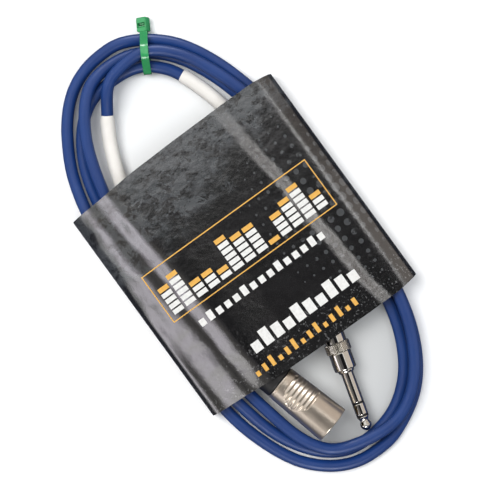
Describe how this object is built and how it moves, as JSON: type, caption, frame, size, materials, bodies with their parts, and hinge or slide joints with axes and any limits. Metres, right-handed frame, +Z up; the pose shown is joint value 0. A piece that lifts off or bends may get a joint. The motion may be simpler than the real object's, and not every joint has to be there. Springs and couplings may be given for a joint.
{
  "type": "xlr cable coil",
  "caption": "Blue microphone cable wound into a tied oval coil inside a card band, with an XLR plug on one end and a jack plug on the other.",
  "frame": {"origin": "middle of the card band's flat back, on the surface that the part lies on", "axes": "+Y along the coil towards the cable tie, +X across the band, +Z up through the band's front"},
  "size_m": [0.1258, 0.2529, 0.0223],
  "materials": {
    "cable": "satin moulded jacket",
    "shrink": "soft gloss",
    "tie": "satin moulded nylon",
    "card": "gloss printed",
    "shell": "satin nickel plate",
    "black_plastic": "satin",
    "contact": "plated",
    "wire_screen": "bare copper",
    "wire_hot": "satin",
    "wire_cold": "satin",
    "chuck": "satin",
    "boot": "satin",
    "plug_chrome": "polished",
    "liner": "satin"
  },
  "bodies": {
    "coil": {"cable_coil": "cable", "cable_lead_xlr": "cable", "cable_lead_jack": "cable", "sleeve_xlr": "shrink", "sleeve_jack": "shrink", "cable_tie": "tie", "xlr_shell": "shell", "xlr_insert": "black_plastic", "jack_insulator_rear": "black_plastic", "jack_insulator_front": "black_plastic", "xlr_pin_1": "contact", "xlr_pin_2": "contact", "xlr_pin_3": "contact", "jack_clamp": "contact", "xlr_wire_screen": "wire_screen", "jack_wire_screen": "wire_screen", "xlr_wire_hot": "wire_hot", "jack_wire_hot": "wire_hot", "xlr_wire_cold": "wire_cold", "jack_wire_cold": "wire_cold", "jack_sleeve": "plug_chrome", "jack_ring": "plug_chrome", "jack_tip": "plug_chrome"},
    "band": {"card_band": "card"},
    "chuck": {"xlr_chuck": "chuck"},
    "boot": {"xlr_boot": "boot"},
    "liner": {"jack_liner": "liner"},
    "handle": {"jack_handle": "plug_chrome"}
  },
  "joints": [
    {"name": "band_slide", "type": "slide", "parent": "coil", "child": "band", "axis": [0, 1, 0], "range_m": [0, 0.19]},
    {"name": "chuck_slide", "type": "slide", "parent": "coil", "child": "chuck", "axis": [-0.2634, 0.9628, -0.061], "range_m": [0, 0.00602]},
    {"name": "boot_turn", "type": "hinge", "parent": "chuck", "child": "boot", "pos_m": [-0.0253, -0.0664, 0.0103], "axis": [-0.2634, 0.9628, -0.061], "range_deg": [0, 1440]},
    {"name": "liner_slide", "type": "slide", "parent": "coil", "child": "liner", "axis": [0.2756, 0.9613, 0], "range_m": [0, 0.00502]},
    {"name": "handle_turn", "type": "hinge", "parent": "liner", "child": "handle", "pos_m": [0.005, -0.0825, 0.0069], "axis": [0.2756, 0.9613, 0], "range_deg": [0, 1800]}
  ],
  "couplings": [
    {"joint": "chuck_slide", "follows": "boot_turn", "m_per_rad": 0.00023873},
    {"joint": "liner_slide", "follows": "handle_turn", "m_per_rad": 0.00015915}
  ]
}
